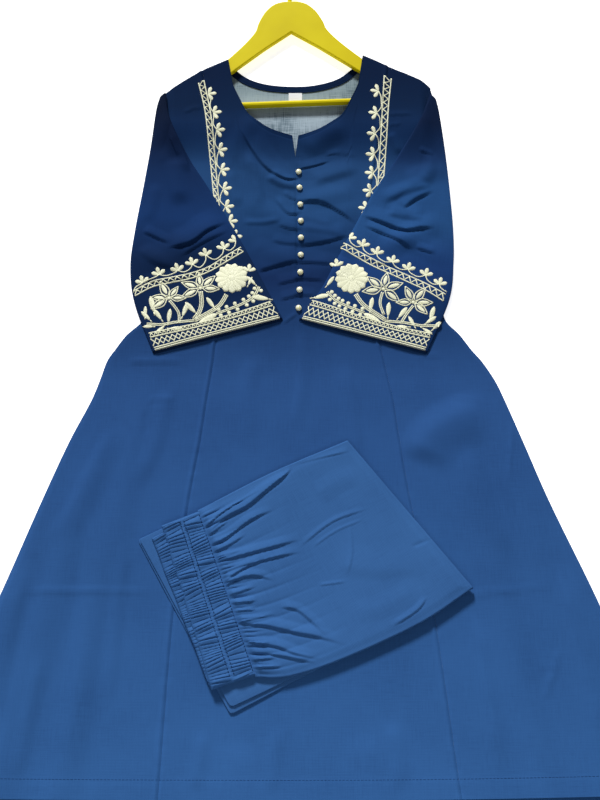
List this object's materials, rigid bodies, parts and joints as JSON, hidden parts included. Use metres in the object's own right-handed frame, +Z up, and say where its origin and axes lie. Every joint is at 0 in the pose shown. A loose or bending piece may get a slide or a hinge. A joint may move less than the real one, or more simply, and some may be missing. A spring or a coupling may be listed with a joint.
{
  "type": "kurti and palazzo set on a clothes hanger",
  "caption": "Flared kurti with embroidered elbow sleeves and a buttoned front, laid flat on a hanger, with gathered palazzo trousers folded on its skirt.",
  "frame": {"origin": "middle of the whole outline, on the surface that the set lies on", "axes": "+X to the right across the front as it is seen, +Y up the cloth from the hem to the hanger's hook, +Z up from the surface"},
  "size_m": [0.9802, 1.292, 0.019],
  "materials": {
    "navy_cotton": "matt woven cotton",
    "blue_cotton": "matt woven cotton",
    "chambray_reverse": "matt woven cotton, paler wrong side",
    "embroidery_thread": "soft sheen",
    "yellow_plastic": "satin moulded",
    "pearl_plastic": "soft gloss",
    "white_satin": "satin"
  },
  "bodies": {
    "root": {"front_centre": "navy_cotton", "front_side_left": "navy_cotton", "front_side_right": "navy_cotton", "sleeve_left": "navy_cotton", "sleeve_right": "navy_cotton", "back_neck_facing": "navy_cotton", "palazzo_folded_legs": "blue_cotton", "palazzo_waistband_back": "blue_cotton", "palazzo_waistband_front": "blue_cotton", "palazzo_leg": "blue_cotton", "back": "chambray_reverse", "neck_label": "white_satin", "hanger": "yellow_plastic", "button_1": "pearl_plastic", "button_2": "pearl_plastic", "button_3": "pearl_plastic", "button_4": "pearl_plastic", "button_5": "pearl_plastic", "button_6": "pearl_plastic", "button_7": "pearl_plastic", "button_8": "pearl_plastic", "button_9": "pearl_plastic"}
  },
  "joints": []
}
